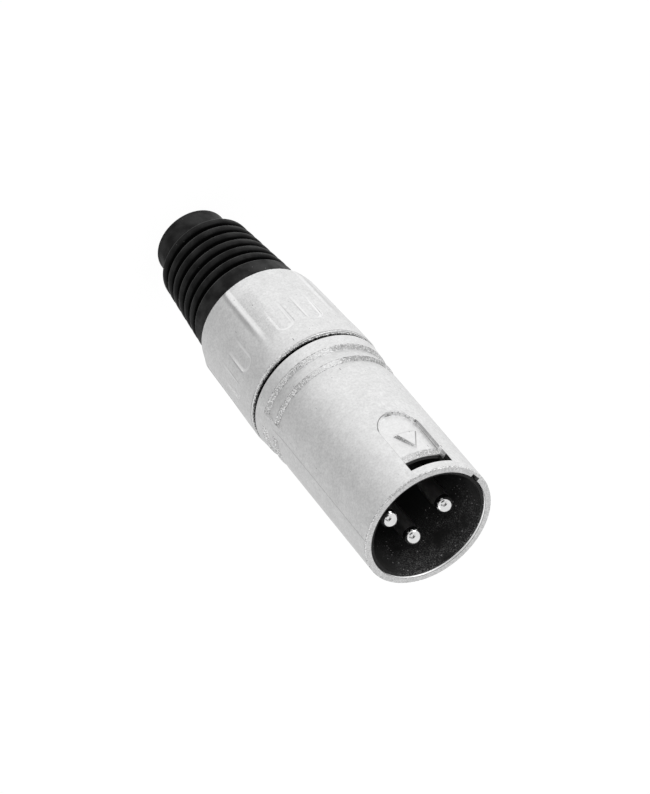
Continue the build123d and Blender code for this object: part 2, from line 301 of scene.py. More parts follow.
def nickel(name, settings, marks=None):
    """Satin nickel plate, with the marks that one piece adds to it.

    The marks are a function of the finish, the point and its three coordinates. It gives how dark
    and how bright each place is, from 0 to 1, and a relief in mm.
    """
    finish = Finish(name)
    point = finish.place()
    tone, dark, height = cast_skin(finish, settings, point)
    shade = finish.blend(tone, rgba(settings.dark), rgba(settings.light))
    if marks:
        darker, brighter, raised = marks(finish, point, *finish.axes(point))
        # Brighter marks: wear, and painted highlights and reflections
        shade = finish.blend(brighter, shade, WORN_METAL_AND_HIGHLIGHT)
        dark = dark + darker
        height = height + raised
    # Darker marks: pits, nicks and crumbs, and painted shade
    marked = finish.blend(dark, shade, GRIME_AND_SHADE)
    rough = settings.roughness + (tone - 0.5) * 0.1
    bump = finish.relief(height)
    return finish.close(Base_Color=marked, Metallic=1.0, Roughness=rough, Normal=bump)


def recess_walls(finish, off, front, near_side, radius, z):
    """How dark the walls of the recess and the window are, and the glare on the far wall.

    Both are painted after the photograph's light.
    """
    wall = (1 - finish.ease(abs(off + 0.03), 0.04, 0.1)) * front * finish.ease(z, 57.2, 57.4)
    middle = finish.band(radius, 9.02, 9.12, 0.06)
    # Painted shade: the walls are painted darker, less across their middle, and darker still in the
    # rear corner away from the near side
    dull = wall * (1 - finish.ease(z, 64.9, 65.0)) * (0.36 - 0.26 * middle)
    rear_corner = (1 - finish.ease(z, 57.4, 57.6)) * finish.ease(radius, 9.0, 9.1)
    corner = wall * rear_corner * (1 - near_side)
    # Painted shade: the window's walls are painted nearly black
    window = wall * finish.band(z, *WINDOW_WALL)
    glare = wall * finish.band(z, *WALL_GLARE) * (1 - near_side)
    return window * 0.97 + dull + corner * 0.3, glare


def arrow_flanks(finish, x, z):
    """The raised triangle's two long flanks, one lit and one dim, as the photograph lights them."""
    across, along = ARROW_FLANK
    ahead = (z - ARROW_TIP) * along
    taper = finish.ease(z, 59.8, 62.2)
    lit = finish.band(ahead - x * across, -0.28, -0.16, 0.04) * finish.band(z, *LIT_FLANK)
    dim = finish.band(ahead + x * across, -0.36 + 0.12 * taper, -0.12, 0.05)
    return lit, dim * finish.band(z, *DIM_FLANK) * (1 - 0.4 * taper)


def recess_marks(finish, fine, coarse, x, y, z):
    """How dark, bright and raised the latch recess is: its walls, arched edge, bevel and arrow.

    The recess is as wide as 18.9 degrees each way, and its rear end is a half circle about height
    58.5, so the distance of a place from that outline tells the walls and the edge apart.
    """
    front = finish.ease(0 - y, 4.0, 5.0)
    across = abs(x) / abs(y) * SHELL_RADIUS
    beyond = (ARCH_CENTRE - z).at_least(0.0)
    off = (across * across + beyond * beyond) ** 0.5 - RECESS_HALF_WIDTH
    recess = front * finish.band(z, *RECESS)
    inside = 1 - finish.ease(off, -0.12, 0.0)
    near_side = finish.ease(x, 0.5, 1.1)
    walls, glare = recess_walls(finish, off, front, near_side, finish.radius(x, y), z)

    rear = recess * (1 - finish.ease(z, 57.4, 58.2))
    arch = (1 - finish.ease(abs(off), 0.1, 0.26)) * rear * (1 - near_side)
    # Painted shade in the arch's hollow and a thin painted shadow along its edge on the near side
    hollow_shade = (1 - finish.ease(abs(x - 0.35), 0.3, 0.8)) * arch
    thin_edge_shade = finish.band(off, 0.0, 0.06, 0.06) * rear * near_side
    # A side of the arch rather than wear: towards negative x it is painted brighter with fainter
    # dark crumbs, a painted highlight
    worn = finish.ease(0 - x, 0.6, 1.4)
    edges = hollow_shade * 0.25 + thin_edge_shade * 0.75 + arch * coarse * (0.35 - 0.15 * worn)

    bevel = inside * finish.ease(z, 63.0, 63.35) * recess
    plain = inside * recess * (1 - bevel) * (1 - arch)
    base = finish.band(z, *ARROW_BASE) * inside * (1 - finish.ease(abs(x), 1.5, 1.65)) * recess
    lit_flank, dim_flank = (flank * recess for flank in arrow_flanks(finish, x, z))

    # A thin painted shadow runs along the arrow's base
    dark = (walls + edges + base * 0.12) * (1 - glare)
    # The bevel's crumbs, painted darker away from the near side as painted shade
    dark = dark + bevel * (0.1 + 0.35 * fine) * (1 - 0.5 * near_side)
    dark = dark + dim_flank * (0.2 + 0.5 * fine) + lit_flank * 0.45
    bright = arch * (1 - coarse) * (0.4 + 0.6 * worn) + bevel * (1 - fine) * 0.4
    bright = bright + plain * 0.3 + glare
    return dark, bright, (arch * 0.05 + bevel * 0.04 + dim_flank * 0.05) * fine


def step_marks(finish, fine, coarse, outer, x, y, z):
    """The rough walls of the two grip steps and their borders, which stop at the parting lands.

    The walls are painted darker on the latch side and brighter at one glint, after the
    photograph's light.
    """
    free = outer * finish.ease(abs(y), 0.95, 1.05)
    walls = (finish.band(z, *REAR_STEP) + finish.band(z, *FRONT_STEP)) * free
    # The borders are thin dark lines along the steps' edges: painted shade
    borders = sum((finish.band(z, *border) for border in STEP_BORDERS), 0.0) * free
    latch_side = finish.ease(finish.toward(x, y, LATCH_SIDE), 0.88, 0.93)
    glint = finish.ease(finish.toward(x, y, GLINT_SIDE), 0.955, 0.985)
    in_front = finish.ease(z, 42.0, 42.5)
    # How dark the walls are: crumbs, and painted shade on the latch side, more on the front step
    rough = 0.06 + 0.34 * fine + latch_side * (0.14 * coarse + 0.12 * in_front)
    dark = walls * rough * (1 - 0.7 * glint) + borders * (0.2 + 0.45 * coarse)
    # Bright crumbs away from the latch side, and a painted highlight at the glint
    bright = walls * (1 - fine) * 0.9 * (1 - latch_side) + walls * glint * 0.9
    return dark, bright, walls * fine * 0.05


def rim_marks(finish, fine, outer, radius, x, y, z):
    """The rim: a worn outer edge, a darker front face and a lip painted bright on the far side as a
    highlight.
    """
    edge = finish.band(z, *RIM_EDGE) * outer
    face = finish.ease(z, 68.03, 68.06)
    far_side = finish.ease(finish.toward(x, y, FAR_SIDE), -0.1, 0.5)
    lip = finish.band(z, *RIM_LIP) * (1 - finish.ease(radius, 8.72, 8.8)) * far_side
    dark = edge * fine * 0.4 + face * (0.1 + 0.2 * fine)
    bright = edge * (1 - fine) * 0.7 + lip
    return dark, bright, lip * (z - 67.7) * -0.7


def shell_marks(settings):
    """The shell's own marks: recess, steps, rim, a parting line and a rear face painted dark as
    shade where it meets the bushing.
    """
    def marks(finish, point, x, y, z):
        fine = crumbs(finish, point, 0.2, 0.40, 0.60)
        coarse = crumbs(finish, point, 0.36, 0.5, 0.6)
        radius = finish.radius(x, y)
        outer = finish.ease(radius, 8.9, 9.05)
        # Painted shade: the rear face is painted dark where the bushing meets it
        seam_shade = 1 - finish.ease(z, SHELL_REAR, SHELL_REAR + 0.07)
        parting = (1 - finish.ease(abs(y), 0.03, 0.08)) * (abs(x) > 9.3)
        parting = parting * finish.ease(z, settings.parting_start, 43.5)
        return together(
            recess_marks(finish, fine, coarse, x, y, z),
            step_marks(finish, fine, coarse, outer, x, y, z),
            rim_marks(finish, fine, outer, radius, x, y, z),
            (seam_shade + parting * 0.3, 0.0, parting * -0.03),
        )
    return marks


def from_nearest(angle, middle):
    """The degrees from the nearest of the five places that repeat a part angle round the grip."""
    half = GRIP_SIDE / 2
    return (angle - (middle - half)) % GRIP_SIDE - half


def flute_marks(finish, angle, z):
    """The flutes: edges painted bright as rubbed wear and as a highlight that widens at the round
    ends, a painted shadow between the two of a pair and a soft dip.

    Each flute is a slot with a round end, so the distance from its middle line is the root of the
    squared distance across it plus the squared distance beyond the end's centre.
    """
    side = from_nearest(angle, SIDE_MIDDLE)
    across = (abs(side) - FLUTE_OFFSET) * GRIP_ARC
    beyond = (z - FLUTE_END).at_least(0.0)
    away = (across * across + beyond * beyond) ** 0.5
    length = finish.ease(z, 27.0, 31.0)
    ends = finish.ease(z, 32.6, 33.2)
    between = FLUTE_OFFSET - abs(side) > 0
    dip = (1 - finish.ease(away, 0.6, 1.6)) * length
    # Wear and painted highlight: a bright band round each flute, wider at its round end
    rubbed = finish.band(away, 0.98 - 0.2 * ends, 1.2, 0.16) * length
    shadow = finish.band(away, 1.32, 1.42, 0.1) * length * between * (1 - ends)
    return shadow * 0.2, rubbed, dip * -0.16


def ridge_marks(finish, angle, x, z):
    """The ridges between the grip's sides, with one flank painted darker as shade and one brighter
    as a highlight.
    """
    ahead = from_nearest(angle, RIDGE) * GRIP_ARC
    ridge = (1 - finish.ease(abs(ahead), 0.02, 0.75)) * (1 - finish.ease(z, 28.0, 35.0))
    right = x > 0
    flank = ahead * (right * 2 - 1) + (1 - right) * 0.35
    length = 1 - finish.ease(z, 28.5, 34.0)
    dark = finish.band(flank, 0.2, 0.7, 0.3) * length * 0.11
    bright = finish.band(flank, -0.55, -0.2, 0.2) * length * 0.5
    return dark, bright, ridge * 0.24


def bushing_marks(finish, point, x, y, z):
    """The bushing's own marks: flutes, ridges, worn edges, a scuff and a darkened front face.

    The front edge is painted brighter on one side, after the photograph's light, and the front
    face is darkened because the photograph shows it in shadow.
    """
    angle = x.math("ARCTAN2", y, x) * (180 / math.pi)
    fine = crumbs(finish, point, 0.2, 0.44, 0.58)
    inside = 1 - finish.ease(finish.radius(x, y), 8.93, 8.95)
    front_face = finish.ease(z, 37.22, 37.27)
    viewer_side = finish.ease(finish.toward(x, y, VIEWER_SIDE), 0.86, 0.97)
    front_edge = finish.band(z, *BUSHING_FRONT_EDGE)
    rear_edge = finish.band(z, *BUSHING_REAR_EDGE)
    scuff = finish.ease(finish.toward(x, y, SCUFF_SIDE), 0.985, 0.997) * finish.band(z, *SCUFF)
    # Painted shade: the front face and the inside of the bore are painted dark
    dark = front_face + inside * 0.8 + (front_edge + rear_edge) * fine * 0.25
    # Painted shade on the front edge away from the viewer side; the scuff is wear
    dark = dark + front_edge * (1 - viewer_side) * 0.2 + scuff * (0.06 + 0.12 * fine)
    # A painted highlight on the front edge towards the viewer side, and a worn rear edge
    bright = (front_edge * (0.2 + 0.8 * viewer_side) + rear_edge) * (1 - fine)
    flutes, ridges = flute_marks(finish, angle, z), ridge_marks(finish, angle, x, z)
    return together(flutes, ridges, (dark, bright, 0.0))


def edge_marks(finish, point, x, y, z):
    """The marks of the bushing's front edge: dark pores between worn, bright crumbs."""
    fine = crumbs(finish, point, 0.2, 0.44, 0.58)
    return 0.15 + fine * 0.55, (1 - fine) * 0.8, fine * 0.03


def moulded(name, colour, roughness, dust):
    """Matte moulded plastic: a fine grain, a front end painted black as shade and dust towards the
    far rim.
    """
    finish = Finish(name)
    point = finish.place()
    x, y, z = finish.axes(point)
    grain = finish.noise(point, 0.16, 2.0, 0.6)
    near_rim = finish.ease(z, 56.0, 67.0) * finish.ease(finish.along(x, y, FAR_SIDE), 1.0, 7.0)
    drift = finish.ease(finish.noise(point, 3.0, 2.0), 0.3, 0.6) * near_rim
    powder = crumbs(finish, point, 0.16, 0.46, 0.7) * drift
    specks = finish.specks(point, 0.4, 0.26, (0.06 + 0.94 * drift) * dust)
    shade = finish.blend(grain, rgba(colour, 0.6), rgba(colour, 1.4))
    # Painted shade: the front end is painted black
    deep = finish.blend(finish.ease(z, 67.66, 67.7), shade, SHADE_BLACK)
    looks = {
        "Base_Color": finish.blend(specks * 0.8 + powder * 0.3, deep, INSERT_DUST),
        "Roughness": roughness + (grain - 0.5) * 0.15,
        "Specular_IOR_Level": 0.25,
        "Normal": finish.relief(grain * 0.008 + specks * 0.02),
    }
    return finish.close(**looks)


def rubber(name, settings):
    """Matte black rubber: dull grooves painted darker as shade, a slight sheen on the crests, faint
    clouds, dust and a painted highlight along each rib's rear edge.

    The crests lie on a cone, so a place's depth below that cone tells how deep in a groove it is.
    """
    finish = Finish(name)
    point = finish.place()
    x, y, z = finish.axes(point)
    cone = COLLAR_RADIUS - BOOT_DROP / RIBBED_LENGTH * (COLLAR_START - z).at_least(0.0)
    tail = 1 - finish.ease(z, 4.5, 4.6)
    crest = 1 - (1 - finish.ease(finish.radius(x, y) - cone, -0.45, -0.05)) * (1 - tail)
    skin = finish.noise(point, 0.22, 3.0, 0.6)
    cloud = finish.noise(point, 2.2, 3.0)
    specks = finish.specks(point, 0.8, 0.2, settings.dust)
    # Painted shade: the grooves are painted darker than the crests, which carry faint clouds
    shade = finish.blend(cloud * crest, rgba(settings.colour, 0.3), rgba(settings.colour, 2.0))
    step = (z - TAIL_LENGTH) % RIB_PITCH
    rear_edge = finish.band(step, 0.1, 0.2, 0.1) * crest * (1 - tail)
    rear_edge = rear_edge * (1 - finish.ease(z, 17.0, 17.2))
    # Dust specks, and a painted highlight along each rib's rear edge
    dust = specks * (0.15 + 0.5 * crest) + rear_edge * cloud * 0.35
    smooth = tail + finish.ease(z, 16.4, 16.8)
    rubbed = 0.15 + 0.6 * finish.ease(cloud, 0.35, 0.7)
    looks = {
        "Base_Color": finish.blend(dust, shade, RUBBER_DUST_AND_HIGHLIGHT),
        "Roughness": 0.9 - crest * (0.9 - settings.roughness) + (skin - 0.5) * 0.2,
        "Specular_IOR_Level": 0.08,
        "Coat_Weight": crest * rubbed * settings.sheen * (0.55 + 0.45 * smooth),
        "Coat_Roughness": 0.45,
        "Normal": finish.relief(skin * 0.012 + specks * 0.02),
    }
    return finish.close(**looks)


def plated(name, colour, roughness):
    """Bright plated contact metal with turning lines, faint stains and a painted dark ring.

    The relief falls with the height above the tip's edge, which turns the tip's rounding towards
    its axis, as on a tip that is flatter than a half ball.
    """
    finish = Finish(name)
    point = finish.place()
    z = finish.axes(point)[2]
    height = finish.node("CombineXYZ", {}, {"X": 0.0, "Y": 0.0, "Z": z})
    lines = finish.noise(height, 0.05, 2.0)
    stain = finish.noise(point, 0.9, 3.0)
    clean = finish.blend(stain, rgba(colour, 0.8), rgba(colour))
    shaft = 1 - finish.ease(z, 64.4, 64.7)
    looks = {
        "Base_Color": finish.blend(finish.band(z, *TIP_EDGE) * 0.8, clean, TIP_SHADOW),
        "Metallic": 1.0,
        "Roughness": roughness + (stain - 0.5) * 0.04 + shaft * 0.22,
        "Normal": finish.relief(lines * 0.002 - (z - 64.6).at_least(0.0) * 0.3),
    }
    return finish.close(**looks)


# Surfaces

def round_corners(corners, steps):
    """A closed outline whose corners are arcs.

    Each corner is (radius, height, rounding). Its arc touches both edges at the rounding over the
    tangent of the half angle, about a centre on the bisector at the rounding over the sine of it.
    """
    table = np.array(corners, dtype=float)
    points, rounding = table[:, :2], table[:, 2:]
    back = np.roll(points, 1, axis=0) - points
    ahead = np.roll(points, -1, axis=0) - points
    back /= np.linalg.norm(back, axis=1, keepdims=True)
    ahead /= np.linalg.norm(ahead, axis=1, keepdims=True)
    half = 0.5 * np.arccos(np.clip((back * ahead).sum(1, keepdims=True), -1, 1))
    middle = back + ahead
    middle /= np.maximum(np.linalg.norm(middle, axis=1, keepdims=True), 1e-9)
    centre = points + middle * rounding / np.sin(half)
    start = points + back * rounding / np.tan(half) - centre
    end = points + ahead * rounding / np.tan(half) - centre
    sweep = np.pi - 2 * half[:, :, None]
    along = np.linspace(0, 1, steps)[None, :, None]
    first = np.sin((1 - along) * sweep) * start[:, None]
    last = np.sin(along * sweep) * end[:, None]
    arc = (first + last) / np.maximum(np.sin(sweep), 1e-9)
    return (centre[:, None] + arc).reshape(-1, 2)


def divide(outline, spacing):
    """The closed outline with points added so that no run is longer than the spacing."""
    loop = np.vstack([outline, outline[:1]])
    length = np.concatenate([[0], np.cumsum(np.linalg.norm(np.diff(loop, axis=0), axis=1))])
    stops = np.concatenate([length[:-1], np.arange(0, length[-1], spacing)])
    stops = np.unique(np.round(stops, 4))
    return np.stack([np.interp(stops, length, loop[:, axis]) for axis in (0, 1)], axis=1)


def around(sectors):
    """A row with the angle of each of some even steps round the axis."""
    return np.linspace(0, 2 * np.pi, sectors, endpoint=False)[None, :]


def carried(radius, height, sectors):
    """Points round the axis: x and y are the radius times the angle's cosine and sine."""
    angle = around(sectors)
    return np.stack([radius * np.cos(angle), radius * np.sin(angle), height + 0 * angle], axis=-1)


def spin(outline, sectors):
    """Carries an outline of radii and heights round the axis."""
    return carried(outline[:, :1], outline[:, 1:], sectors)


def ring_mesh(name, grid, material, sharp=40.0):
    """Joins a grid that closes both ways into quads, turned outwards, and makes the object.

    The solid's volume is a third of the sum of point times face normal, so its sign tells which
    way the faces look.
    """
    rows, columns = grid.shape[:2]
    row, column = np.meshgrid(np.arange(rows), np.arange(columns), indexing="ij")
    below, beside = (row + 1) % rows, (column + 1) % columns
    corners = [(row, column), (row, beside), (below, beside), (below, column)]
    quads = np.stack([down * columns + across for down, across in corners], axis=-1)
    quads = quads.reshape(-1, 4)
    points = grid.reshape(-1, 3)
    first, second, third, fourth = (points[quads[:, index]] for index in range(4))
    volume = np.einsum("ij,ij->i", first, np.cross(third - first, fourth - second)).sum()
    if volume < 0:
        quads = quads[:, ::-1]
    mesh = bpy.data.meshes.new(name)
    mesh.from_pydata((points * MM).tolist(), [], quads.tolist())
    mesh.shade_smooth()
    mesh.set_sharp_from_angle(angle=math.radians(sharp))
    mesh.materials.append(material)
    piece = bpy.data.objects.new(name, mesh)
    bpy.context.scene.collection.objects.link(piece)
    return piece


def thread_sleeve(settings, root, back, depth, low, high, phase):
    """A sleeve with one screw ridge on one side.

    At angle a and height z the ridge stands out from the root radius by the depth times a rounded
    triangle wave of z over the pitch less a over a full turn. It fades in and out over half a turn,
    and the other wall of the sleeve is a plain cylinder at the back radius.
    """
    height = np.linspace(low, high, int((high - low) / settings.pitch * 40))[:, None]
    turn = (height / settings.pitch - around(settings.sectors) / (2 * np.pi) + phase) % 1.0
    wave = np.clip(1 - np.minimum(turn, 1 - turn) / 0.4, 0, 1)
    wave = wave * wave * (3 - 2 * wave)
    fade = np.clip(np.minimum(height - low, high - height) / (settings.pitch / 2), 0, 1)
    radius = root + depth * wave * fade * fade * (3 - 2 * fade)
    front = carried(radius, height, settings.sectors)
    wall = spin(np.array([[back, high], [back, low]]), settings.sectors)
    return np.concatenate([front, wall])


def take_finish(nodes, material):
    """Puts one material on every slot of some CAD nodes."""
    for name in nodes:
        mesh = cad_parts[name].data
        mesh.materials.clear()
        mesh.materials.append(material)


def dressed(piece, body, slot, *nodes):
    """Lets a piece ride on a body and hides the CAD nodes that it stands for. The slot is not used.
    """
    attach(piece, body)
    if nodes:
        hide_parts(*nodes)


# Kinds of properties

def tint(name, description, *default):
    """A colour that the user can set."""
    return FloatVectorProperty(
        name=name, description=description, subtype="COLOR", default=default)


def share(name, description, default):
    """A share that the user can set."""
    return FloatProperty(name=name, description=description, subtype="FACTOR", default=default)


def number(name, description, default):
    """A size, level or angle that the user can set."""
    return FloatProperty(name=name, description=description, default=default)


def count(name, description, default):
    """A whole number that the user can set."""
    return IntProperty(name=name, description=description, default=default)


# Sizes and colours that a user would change

class PlugNickel(bpy.types.PropertyGroup):
    """The nickel plate of the shell, the bushing and the threads."""

    light: tint("Light tone", "Colour of the grain's high spots", 0.92, 0.92, 0.92)
    dark: tint("Dark tone", "Colour of the grain's low spots", 0.72, 0.72, 0.72)
    roughness: share("Roughness", "Satin sheen of the plate", 0.45)
    grain_width: number("Grain width", "Width of the grain in mm", 0.3)
    grain_height: number("Grain height", "Relief of the grain in mm", 0.02)
    contrast: number("Contrast", "How far the grain's tones lie apart", 2.1)
    bead: number("Edge bead", "Height in mm of the rough bead on the bushing's front edge", 0.27)
    parting_start: number("Parting line start", "Height in mm where the parting line begins", 42.0)


class PlugRubber(bpy.types.PropertyGroup):
    """The rubber boot."""

    colour: tint("Colour", "Colour of the rubber", 0.006, 0.006, 0.006)
    roughness: share("Roughness", "How dull the rubber is", 0.55)
    sheen: share("Sheen", "Sheen of the rubbed crests", 0.65)
    dust: share("Dust", "Share of the cells that hold a dust speck", 0.25)
    waver: number("Waver", "How far the soft ribs leave a true circle, in mm", 0.03)
    sectors: count("Sectors", "Steps round the boot", 144)


class PlugPlastic(bpy.types.PropertyGroup):
    """The insert and the cable clamp."""

    insert: tint("Insert", "Colour of the contact insert", 0.03, 0.03, 0.03)
    chuck: tint("Chuck", "Colour of the cable clamp", 0.05, 0.05, 0.052)
    roughness: share("Roughness", "How dull the plastic is", 0.5)
    dust: share("Dust", "Share of the cells that hold a dust speck", 0.5)


class PlugContacts(bpy.types.PropertyGroup):
    """The contacts and the ground lug."""

    colour: tint("Colour", "Colour of the plated contacts", 0.93, 0.93, 0.93)
    roughness: share("Roughness", "Polish of the plated contacts", 0.1)


class PlugThread(bpy.types.PropertyGroup):
    """The screw thread."""

    pitch: number("Pitch", "Rise of the screw thread per turn, in mm", 1.5)
    sectors: count("Sectors", "Steps round the thread", 160)


class PlugStage(bpy.types.PropertyGroup):
    """The camera, the floor, the lamps and the room."""

    azimuth: number("Azimuth", "Direction of the camera round the plug", 36.4)
    elevation: number("Elevation", "Height of the camera above the horizon", 41.77)
    roll: number("Roll", "Turn of the picture, as the photograph lays the plug down", 140.086)
    distance: FloatProperty(
        name="Distance", description="Camera to the aim point, in m", unit="LENGTH",
        default=0.52922)
    lens: number("Lens", "Focal length in mm on a 36 mm frame", 176.37)
    key_power: number("Key", "Power of the main lamp, in W", 2.2)
    world: number("Surroundings", "Level of the even light from all sides", 0.5)
    ceiling: number("Ceiling", "Level of the room above, as metal mirrors it", 0.85)
    lit_side: number("Lit side", "Part angle of the lit side of the floor, in degrees", 246.0)
    shade: number("Shaded side", "Level of the floor's shaded side, as metal mirrors it", 0.68)
    dim_side: number("Dim side", "Part angle of the floor's dimmest stretch, in degrees", 345.0)
    dip: share("Dip", "How much dimmer that stretch is, as metal mirrors it", 0.25)
    floor: number("Floor", "Grey level of the floor", 0.85)


GROUPS = {
    "plug_nickel": PlugNickel,
    "plug_rubber": PlugRubber,
    "plug_plastic": PlugPlastic,
    "plug_contacts": PlugContacts,
    "plug_thread": PlugThread,
    "plug_stage": PlugStage,
}


# Operators

def outward(angle, elevation):
    """The unit vector that looks out at a part angle and an elevation, both in degrees."""
    turn, rise = math.radians(angle), math.radians(elevation)
    level = math.cos(rise)
    return Vector((math.cos(turn) * level, math.sin(turn) * level, math.sin(rise)))


def aimed(name, data, place, out, roll=0.0):
    """Puts a lamp or a camera in the scene so that it looks back against a vector."""
    holder = bpy.data.objects.new(name, data)
    holder.location = place
    holder.rotation_mode = "QUATERNION"
    level = (-out).to_track_quat("-Z", "Y")
    holder.rotation_quaternion = level @ Quaternion((0, 0, 1), math.radians(roll))
    bpy.context.scene.collection.objects.link(holder)
    return holder


class PLUG_OT_stage(bpy.types.Operator):
    """Sets the floor, the surroundings, the lamps and the camera."""

    bl_idname = "plug.stage"
    bl_label = "Stage"

    FLOOR_REACH = 1.5
    FLOOR_GLOW = 1.09
    GLOW_SHARE = 0.88
    HORIZON = (0.15, 0.45)
    DARK_STRETCH = (306.4, 60.0)
    LAMP_TARGET = (0, 0, 0.035)
    CAMERA_TARGET = (-0.000326, -0.000240, 0.039017)
    SENSOR = 36.0
    LAMPS = {
        "key": {"angle": 246.0, "elevation": 14.0, "distance": 1.2, "size": 0.55, "share": 1.0},
        "fill": {"angle": 40.0, "elevation": 20.0, "distance": 1.2, "size": 0.7, "share": 0.3},
    }

    def execute(self, context):
        settings = context.scene.plug_stage
        self.floor(context, settings)
        self.surroundings(context, settings)
        self.lamps(settings)
        self.camera(context, settings)
        context.scene.view_settings.view_transform = "Standard"
        return {"FINISHED"}

    def ray(self, finish, *names):
        """1 for rays of the named kinds, 0 for the others."""
        return sum((finish.node("LightPath", {}, {}, f"Is {name} Ray") for name in names), 0.0)

    def floor(self, context, settings):
        """A wide square on which the plug stands, nearly all paper white to the camera.

        Mirrored rays alone see it dimmer, from the key's side round to the far side, as if it were
        lit from one side.
        """
        mesh = bpy.data.meshes.new("floor")
        signs = [(-1, -1), (1, -1), (1, 1), (-1, 1)]
        ends = [(x * self.FLOOR_REACH, y * self.FLOOR_REACH, 0) for x, y in signs]
        mesh.from_pydata(ends, [], [(0, 1, 2, 3)])
        finish = Finish("floor_paper")
        x, y = finish.axes(finish.place())[:2]
        lit = finish.ease(finish.toward(x, y, settings.lit_side), -0.45, 0.75)
        dim = finish.ease(finish.toward(x, y, settings.dim_side), 0.5, 1.0)
        mirrored = (lit * (1 - settings.shade) + settings.shade) * (1 - dim * settings.dip)
        level = (self.ray(finish, "Glossy") * (mirrored - 1) + 1) * self.FLOOR_GLOW
        paper = finish.node("BsdfDiffuse", {}, {"Color": grey(settings.floor)})
        glow = finish.node("Emission", {}, {"Color": grey(1.0), "Strength": level})
        seen = self.ray(finish, "Camera", "Glossy", "Transmission") * self.GLOW_SHARE
        mixed = finish.node("MixShader", {}, {0: seen, 1: paper, 2: glow})
        finish.join("ShaderNodeOutputMaterial", mixed)
        mesh.materials.append(finish.material)
        floor = bpy.data.objects.new("floor", mesh)
        context.scene.collection.objects.link(floor)

    def surroundings(self, context, settings):
        """A room that is white round the horizon and greyer above, with one dark stretch.

        That stretch lies high over the photograph's viewpoint, so that the contacts' tips mirror
        it. The even light on the plug itself is softer.
        """
        world = bpy.data.worlds.new("surroundings")
        context.scene.world = world
        world.use_nodes = True
        finish = Finish("surroundings_nodes")
        bpy.data.materials.remove(finish.material)
        finish.tree = world.node_tree
        finish.tree.nodes.clear()
        direction = finish.node("TexCoord", {}, {}, "Generated")
        axes = finish.axes(direction)
        room = 1 - finish.ease(axes[2], *self.HORIZON) * (1 - settings.ceiling)
        pairs = zip(axes, outward(*self.DARK_STRETCH))
        high = sum((axis * part for axis, part in pairs), 0.0)
        broken = finish.ease(finish.noise(direction, 0.3), 0.4, 0.55)
        room = room * (1 - 0.95 * finish.band(high, 0.84, 0.96, 0.02) * broken)
        seen = self.ray(finish, "Camera", "Glossy", "Transmission")
        level = seen * (room - settings.world) + settings.world
        even = finish.node("Background", {}, {"Color": grey(1.0), "Strength": level})
        finish.join("ShaderNodeOutputWorld", even)

    def lamps(self, settings):
        """Soft square lamps round the plug, each with its share of the power."""
        for name, row in self.LAMPS.items():
            lamp = bpy.data.lights.new(name, "AREA")
            lamp.size = row["size"]
            lamp.energy = row["share"] * settings.key_power
            out = outward(row["angle"], row["elevation"])
            aimed(name, lamp, Vector(self.LAMP_TARGET) + out * row["distance"], out)

    def camera(self, context, settings):
        """The photograph's viewpoint, rolled so that the standing plug lies across the picture."""
        lens = bpy.data.cameras.new("camera")
        lens.lens = settings.lens
        lens.sensor_width = self.SENSOR
        lens.clip_start = 0.01
        out = outward(settings.azimuth - 90, settings.elevation)
        place = Vector(self.CAMERA_TARGET) + out * settings.distance
        context.scene.camera = aimed("camera", lens, place, out, settings.roll)


class PLUG_OT_shell(bpy.types.Operator):
    """Plates the die-cast shell in satin nickel."""

    bl_idname = "plug.shell"
    bl_label = "Shell"

    def execute(self, context):
        settings = context.scene.plug_nickel
        take_finish(["shell"], nickel("satin_nickel_shell", settings, shell_marks(settings)))
        return {"FINISHED"}


class PLUG_OT_bushing(bpy.types.Operator):
    """Plates the screwed bushing in satin nickel."""

    bl_idname = "plug.bushing"
    bl_label = "Bushing"

    def execute(self, context):
        settings = context.scene.plug_nickel
        take_finish(["bushing"], nickel("satin_nickel_bushing", settings, bushing_marks))
        return {"FINISHED"}


class PLUG_OT_front_edge(bpy.types.Operator):
    """Adds the rough bead that casting leaves on the bushing's front edge.

    Its section is a rounded rectangle. Above its foot each height is scaled by a broad swell round
    the edge, the third power of half of one plus a cosine, and by three quick sines of the angle.
    """

    bl_idname = "plug.front_edge"
    bl_label = "Front edge"

    SECTORS = 480
    SWELL_SIDE = 250

    def execute(self, context):
        settings = context.scene.plug_nickel
        foot, top = 37.2, BUSHING_FACE + settings.bead
        corners = [(9.5, foot, 0.02), (9.84, foot, 0.02), (9.82, top, 0.12), (9.5, top, 0.05)]
        grid = spin(divide(round_corners(corners, 6), 0.1), self.SECTORS)
        angle = around(self.SECTORS)
        thick = 0.4 + 0.6 * (0.5 + 0.5 * np.cos(angle - math.radians(self.SWELL_SIDE))) ** 3
        rough = np.sin(31 * angle) + np.sin(47 * angle + 1.0) + np.sin(83 * angle + 2.0)
        above = np.maximum(grid[:, :, 2] - BUSHING_FACE, 0)
        grid[:, :, 2] += above * (thick * (1 + 0.1 * rough) - 1)
        piece = ring_mesh("bushing_edge", grid, nickel("satin_nickel_edge", settings, edge_marks))
        dressed(piece, "bushing", "nickel")
        return {"FINISHED"}


class PLUG_OT_insert(bpy.types.Operator):
    """Finishes the moulded insert and the cable clamp."""

    bl_idname = "plug.insert"
    bl_label = "Insert and chuck"

    CHUCK_DUST = 0.05

    def execute(self, context):
        settings = context.scene.plug_plastic
        dull = settings.roughness
        insert = moulded("insert_plastic", settings.insert, dull, settings.dust)
        take_finish(["insert"], insert)
        chuck = moulded("chuck_plastic_grained", settings.chuck, dull, self.CHUCK_DUST)
        take_finish(["chuck"], chuck)
        return {"FINISHED"}


